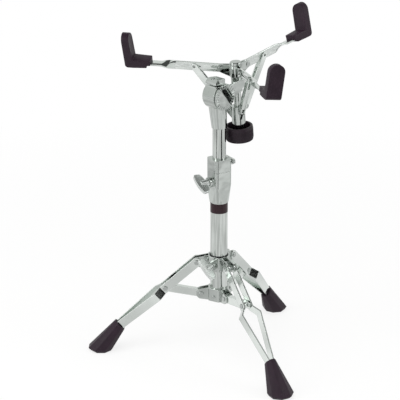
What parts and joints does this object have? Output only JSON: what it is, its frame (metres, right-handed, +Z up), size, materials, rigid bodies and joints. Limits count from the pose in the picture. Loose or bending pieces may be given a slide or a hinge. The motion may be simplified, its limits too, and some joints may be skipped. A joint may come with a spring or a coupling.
{
  "type": "snare drum stand",
  "caption": "Folding tripod stand with a telescoping tube, tilting head and rubber-tipped arm basket that grips a snare drum.",
  "frame": {"origin": "the floor point below the axis of the base tube, in the plane of the three soles", "axes": "+Z up along the tubes, -X along the left leg, +Y away from the viewer"},
  "size_m": [0.3736, 0.3878, 0.5661],
  "materials": {
    "steel_chrome": "bright chrome plate on steel tube and strip",
    "cast_chrome": "bright chrome plate on cast metal",
    "fastener_steel": "plated rivets, pins and screws",
    "black_rubber": "soft matt moulded rubber",
    "knob_rubber": "satin moulded rubber",
    "bush_nylon": "dark moulded nylon",
    "band_vinyl": "bare dark gloss band",
    "insert_brass": "turned brass nut"
  },
  "bodies": {
    "base": {"base_tube": "steel_chrome", "lower_bracket": "steel_chrome", "strut_foot_pins": "fastener_steel", "bracket_rivets": "fastener_steel", "clamp_casting": "cast_chrome", "clamp_bush": "bush_nylon", "label_band": "band_vinyl"},
    "collar": {"leg_collar": "steel_chrome", "collar_bush": "bush_nylon", "leg_hinge_pins": "fastener_steel", "collar_rivets": "fastener_steel"},
    "collar_wing": {"collar_wing_bolt": "cast_chrome"},
    "memory": {"memory_collar": "cast_chrome", "memory_key_screw": "fastener_steel"},
    "upper": {"upper_tube": "steel_chrome", "tilter_body": "cast_chrome", "tilt_clamp_screw": "fastener_steel"},
    "height_wing": {"height_wing_bolt": "cast_chrome"},
    "basket": {"tilt_bracket": "cast_chrome", "basket_rod": "steel_chrome", "basket_hub": "cast_chrome", "hub_cap": "steel_chrome", "arm_pins": "fastener_steel"},
    "slider": {"basket_slider": "cast_chrome", "slider_pins": "fastener_steel"},
    "knob": {"basket_knob": "knob_rubber", "knob_insert": "insert_brass"},
    "leg_left": {"left_leg_strip_1": "steel_chrome", "left_leg_strip_2": "steel_chrome", "left_leg_rivets": "fastener_steel", "left_leg_boot": "black_rubber"},
    "strut_left": {"left_leg_strut": "steel_chrome"},
    "arm_left": {"left_basket_arm": "steel_chrome", "left_basket_tip": "black_rubber", "left_arm_rivet": "fastener_steel"},
    "link_left": {"left_basket_strut": "steel_chrome"},
    "leg_rear": {"rear_leg_strip_1": "steel_chrome", "rear_leg_strip_2": "steel_chrome", "rear_leg_rivets": "fastener_steel", "rear_leg_boot": "black_rubber"},
    "strut_rear": {"rear_leg_strut": "steel_chrome"},
    "arm_rear": {"rear_basket_arm": "steel_chrome", "rear_basket_tip": "black_rubber", "rear_arm_rivet": "fastener_steel"},
    "link_rear": {"rear_basket_strut": "steel_chrome"},
    "leg_front": {"front_leg_strip_1": "steel_chrome", "front_leg_strip_2": "steel_chrome", "front_leg_rivets": "fastener_steel", "front_leg_boot": "black_rubber"},
    "strut_front": {"front_leg_strut": "steel_chrome"},
    "arm_front": {"front_basket_arm": "steel_chrome", "front_basket_tip": "black_rubber", "front_arm_rivet": "fastener_steel"},
    "link_front": {"front_basket_strut": "steel_chrome"}
  },
  "joints": [
    {"name": "collar_slide", "type": "slide", "parent": "base", "child": "collar", "axis": [0, 0, 1], "range_m": [0, 0.07352]},
    {"name": "leg_hinge_left", "type": "hinge", "parent": "collar", "child": "leg_left", "pos_m": [-0.0368, 0, 0.162], "axis": [0, -1, 0], "range_deg": [0, 48.1]},
    {"name": "strut_hinge_left", "type": "hinge", "parent": "base", "child": "strut_left", "pos_m": [-0.0287, 0, 0.105], "axis": [0, 1, 0], "range_deg": [0, 72.71]},
    {"name": "leg_hinge_rear", "type": "hinge", "parent": "collar", "child": "leg_rear", "pos_m": [0.0184, 0.03187, 0.162], "axis": [-0.866, 0.5, 0], "range_deg": [0, 48.1]},
    {"name": "strut_hinge_rear", "type": "hinge", "parent": "base", "child": "strut_rear", "pos_m": [0.01435, 0.02485, 0.105], "axis": [0.866, -0.5, 0], "range_deg": [0, 72.71]},
    {"name": "leg_hinge_front", "type": "hinge", "parent": "collar", "child": "leg_front", "pos_m": [0.0184, -0.03187, 0.162], "axis": [0.866, 0.5, 0], "range_deg": [0, 48.1]},
    {"name": "strut_hinge_front", "type": "hinge", "parent": "base", "child": "strut_front", "pos_m": [0.01435, -0.02485, 0.105], "axis": [-0.866, -0.5, 0], "range_deg": [0, 72.71]},
    {"name": "collar_wing_turn", "type": "hinge", "parent": "collar", "child": "collar_wing", "pos_m": [-0.0135, -0.02338, 0.1605], "axis": [-0.5, -0.866, 0], "continuous": true},
    {"name": "height_wing_turn", "type": "hinge", "parent": "base", "child": "height_wing", "pos_m": [-0.01823, -0.01139, 0.304], "axis": [-0.848, -0.5299, 0], "continuous": true},
    {"name": "height_slide", "type": "slide", "parent": "base", "child": "memory", "axis": [0, 0, 1], "range_m": [0, 0.1]},
    {"name": "swivel", "type": "hinge", "parent": "memory", "child": "upper", "pos_m": [0, 0, 0.3223], "axis": [0, 0, 1], "continuous": true},
    {"name": "tilt", "type": "hinge", "parent": "upper", "child": "basket", "pos_m": [-0.0032, -0.008, 0.4517], "axis": [0.6947, -0.7193, 0], "range_deg": [-1, 75]},
    {"name": "slider_slide", "type": "slide", "parent": "basket", "child": "slider", "axis": [-0.0602, -0.0581, 0.9965], "range_m": [0, 0.01915]},
    {"name": "knob_turn", "type": "hinge", "parent": "slider", "child": "knob", "pos_m": [0.03275, 0.02074, 0.37928], "axis": [-0.0602, -0.0581, 0.9965], "continuous": true},
    {"name": "arm_hinge_left", "type": "hinge", "parent": "basket", "child": "arm_left", "pos_m": [0.00155, 0.01929, 0.48971], "axis": [0.199, 0.9776, 0.069], "range_deg": [0, 36.8]},
    {"name": "link_hinge_left", "type": "hinge", "parent": "slider", "child": "link_left", "pos_m": [0.01359, 0.02174, 0.42033], "axis": [0.199, 0.9776, 0.069], "range_deg": [0, 7.58]},
    {"name": "arm_hinge_rear", "type": "hinge", "parent": "basket", "child": "arm_rear", "pos_m": [0.04254, 0.03286, 0.49297], "axis": [0.7476, -0.6641, 0.0064], "range_deg": [0, 36.8]},
    {"name": "link_hinge_rear", "type": "hinge", "parent": "slider", "child": "link_rear", "pos_m": [0.04146, 0.03097, 0.42255], "axis": [0.7476, -0.6641, 0.0064], "range_deg": [0, 7.58]},
    {"name": "arm_hinge_front", "type": "hinge", "parent": "basket", "child": "arm_front", "pos_m": [0.03392, -0.00947, 0.48998], "axis": [-0.9466, -0.3135, -0.0755], "range_deg": [0, 36.8]},
    {"name": "link_hinge_front", "type": "hinge", "parent": "slider", "child": "link_front", "pos_m": [0.0356, 0.00218, 0.42052], "axis": [-0.9466, -0.3135, -0.0755], "range_deg": [0, 7.58]}
  ],
  "couplings": [
    {"joint": "leg_hinge_left", "follows": "collar_slide", "rad_per_m": 11.417},
    {"joint": "strut_hinge_left", "follows": "collar_slide", "rad_per_m": 17.26},
    {"joint": "leg_hinge_rear", "follows": "collar_slide", "rad_per_m": 11.417},
    {"joint": "strut_hinge_rear", "follows": "collar_slide", "rad_per_m": 17.26},
    {"joint": "leg_hinge_front", "follows": "collar_slide", "rad_per_m": 11.417},
    {"joint": "strut_hinge_front", "follows": "collar_slide", "rad_per_m": 17.26},
    {"joint": "arm_hinge_left", "follows": "slider_slide", "rad_per_m": 33.531},
    {"joint": "link_hinge_left", "follows": "slider_slide", "rad_per_m": 6.905},
    {"joint": "arm_hinge_rear", "follows": "slider_slide", "rad_per_m": 33.531},
    {"joint": "link_hinge_rear", "follows": "slider_slide", "rad_per_m": 6.905},
    {"joint": "arm_hinge_front", "follows": "slider_slide", "rad_per_m": 33.531},
    {"joint": "link_hinge_front", "follows": "slider_slide", "rad_per_m": 6.905}
  ]
}
